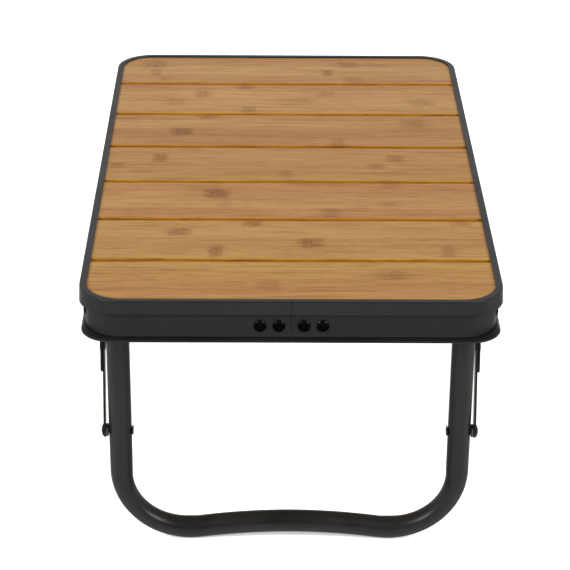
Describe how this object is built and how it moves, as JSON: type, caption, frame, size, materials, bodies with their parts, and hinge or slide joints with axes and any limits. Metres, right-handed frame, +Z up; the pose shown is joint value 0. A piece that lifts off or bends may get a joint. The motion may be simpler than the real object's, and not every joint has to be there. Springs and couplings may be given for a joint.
{
  "type": "folding tray table",
  "caption": "Low rectangular folding table: bamboo slats in a black metal tray frame with rounded corners, on two U-shaped tube legs that fold flat under the tray, held by sliding stays.",
  "frame": {"origin": "on the floor under the centre of the table, with the legs open", "axes": "+Z up; the tray's long side lies along Y and its short side along X; the end seen in front is at -Y, and +X is on its right"},
  "size_m": [0.34, 0.56, 0.24],
  "materials": {
    "frame": "satin black powder coat",
    "leg": "satin black powder coat",
    "bamboo": "clear satin lacquer",
    "board": "plain",
    "black_steel": "semi-gloss black",
    "spacer": "black nylon"
  },
  "bodies": {
    "tray": {"frame_half_left": "frame", "frame_half_right": "frame", "slat_1": "bamboo", "slat_2": "bamboo", "slat_3": "bamboo", "slat_4": "bamboo", "slat_5": "bamboo", "slat_6": "bamboo", "slat_7": "bamboo", "backing_board": "board", "front_splice_plate": "black_steel", "front_splice_screw_1": "black_steel", "front_splice_screw_2": "black_steel", "front_splice_screw_3": "black_steel", "front_splice_screw_4": "black_steel", "rear_splice_plate": "black_steel", "rear_splice_screw_1": "black_steel", "rear_splice_screw_2": "black_steel", "rear_splice_screw_3": "black_steel", "rear_splice_screw_4": "black_steel", "front_left_hinge_plate": "black_steel", "front_left_leg_pivot_pin": "black_steel", "front_left_stay_stud": "black_steel", "front_right_hinge_plate": "black_steel", "front_right_leg_pivot_pin": "black_steel", "front_right_stay_stud": "black_steel", "rear_left_hinge_plate": "black_steel", "rear_left_leg_pivot_pin": "black_steel", "rear_left_stay_stud": "black_steel", "rear_right_hinge_plate": "black_steel", "rear_right_leg_pivot_pin": "black_steel", "rear_right_stay_stud": "black_steel"},
    "front_leg": {"front_leg": "leg", "front_left_stay_pivot_rivet": "black_steel", "front_left_stay_spacer": "spacer", "front_right_stay_pivot_rivet": "black_steel", "front_right_stay_spacer": "spacer"},
    "front_left_lower_stay": {"front_left_lower_stay": "black_steel", "front_left_guide_rivet": "black_steel"},
    "front_left_upper_stay": {"front_left_upper_stay": "black_steel", "front_left_anchor_rivet": "black_steel"},
    "front_right_lower_stay": {"front_right_lower_stay": "black_steel", "front_right_guide_rivet": "black_steel"},
    "front_right_upper_stay": {"front_right_upper_stay": "black_steel", "front_right_anchor_rivet": "black_steel"},
    "rear_leg": {"rear_leg": "leg", "rear_left_stay_pivot_rivet": "black_steel", "rear_left_stay_spacer": "spacer", "rear_right_stay_pivot_rivet": "black_steel", "rear_right_stay_spacer": "spacer"},
    "rear_left_lower_stay": {"rear_left_lower_stay": "black_steel", "rear_left_guide_rivet": "black_steel"},
    "rear_left_upper_stay": {"rear_left_upper_stay": "black_steel", "rear_left_anchor_rivet": "black_steel"},
    "rear_right_lower_stay": {"rear_right_lower_stay": "black_steel", "rear_right_guide_rivet": "black_steel"},
    "rear_right_upper_stay": {"rear_right_upper_stay": "black_steel", "rear_right_anchor_rivet": "black_steel"}
  },
  "joints": [
    {"name": "front_leg_fold", "type": "hinge", "parent": "tray", "child": "front_leg", "pos_m": [0, -0.247, 0.2173], "axis": [1, 0, 0], "range_deg": [0, 90]},
    {"name": "front_left_lower_stay_swing", "type": "hinge", "parent": "front_leg", "child": "front_left_lower_stay", "pos_m": [0, -0.247, 0.104], "axis": [1, 0, 0], "range_deg": [0, 14.41]},
    {"name": "front_left_upper_stay_slide", "type": "slide", "parent": "front_left_lower_stay", "child": "front_left_upper_stay", "axis": [0, -0.248, -0.9688], "range_m": [0, 0.0328]},
    {"name": "front_right_lower_stay_swing", "type": "hinge", "parent": "front_leg", "child": "front_right_lower_stay", "pos_m": [0, -0.247, 0.104], "axis": [1, 0, 0], "range_deg": [0, 14.41]},
    {"name": "front_right_upper_stay_slide", "type": "slide", "parent": "front_right_lower_stay", "child": "front_right_upper_stay", "axis": [0, -0.248, -0.9688], "range_m": [0, 0.0328]},
    {"name": "rear_leg_fold", "type": "hinge", "parent": "tray", "child": "rear_leg", "pos_m": [0, 0.247, 0.2173], "axis": [-1, 0, 0], "range_deg": [0, 90]},
    {"name": "rear_left_lower_stay_swing", "type": "hinge", "parent": "rear_leg", "child": "rear_left_lower_stay", "pos_m": [0, 0.247, 0.104], "axis": [-1, 0, 0], "range_deg": [0, 14.41]},
    {"name": "rear_left_upper_stay_slide", "type": "slide", "parent": "rear_left_lower_stay", "child": "rear_left_upper_stay", "axis": [0, 0.248, -0.9688], "range_m": [0, 0.0328]},
    {"name": "rear_right_lower_stay_swing", "type": "hinge", "parent": "rear_leg", "child": "rear_right_lower_stay", "pos_m": [0, 0.247, 0.104], "axis": [-1, 0, 0], "range_deg": [0, 14.41]},
    {"name": "rear_right_upper_stay_slide", "type": "slide", "parent": "rear_right_lower_stay", "child": "rear_right_upper_stay", "axis": [0, 0.248, -0.9688], "range_m": [0, 0.0328]}
  ],
  "couplings": [
    {"joint": "front_left_lower_stay_swing", "follows": "front_leg_fold", "ratio": 0.15952},
    {"joint": "front_left_upper_stay_slide", "follows": "front_leg_fold", "m_per_rad": 0.020787},
    {"joint": "front_right_lower_stay_swing", "follows": "front_leg_fold", "ratio": 0.15952},
    {"joint": "front_right_upper_stay_slide", "follows": "front_leg_fold", "m_per_rad": 0.020787},
    {"joint": "rear_left_lower_stay_swing", "follows": "rear_leg_fold", "ratio": 0.15952},
    {"joint": "rear_left_upper_stay_slide", "follows": "rear_leg_fold", "m_per_rad": 0.020787},
    {"joint": "rear_right_lower_stay_swing", "follows": "rear_leg_fold", "ratio": 0.15952},
    {"joint": "rear_right_upper_stay_slide", "follows": "rear_leg_fold", "m_per_rad": 0.020787}
  ]
}
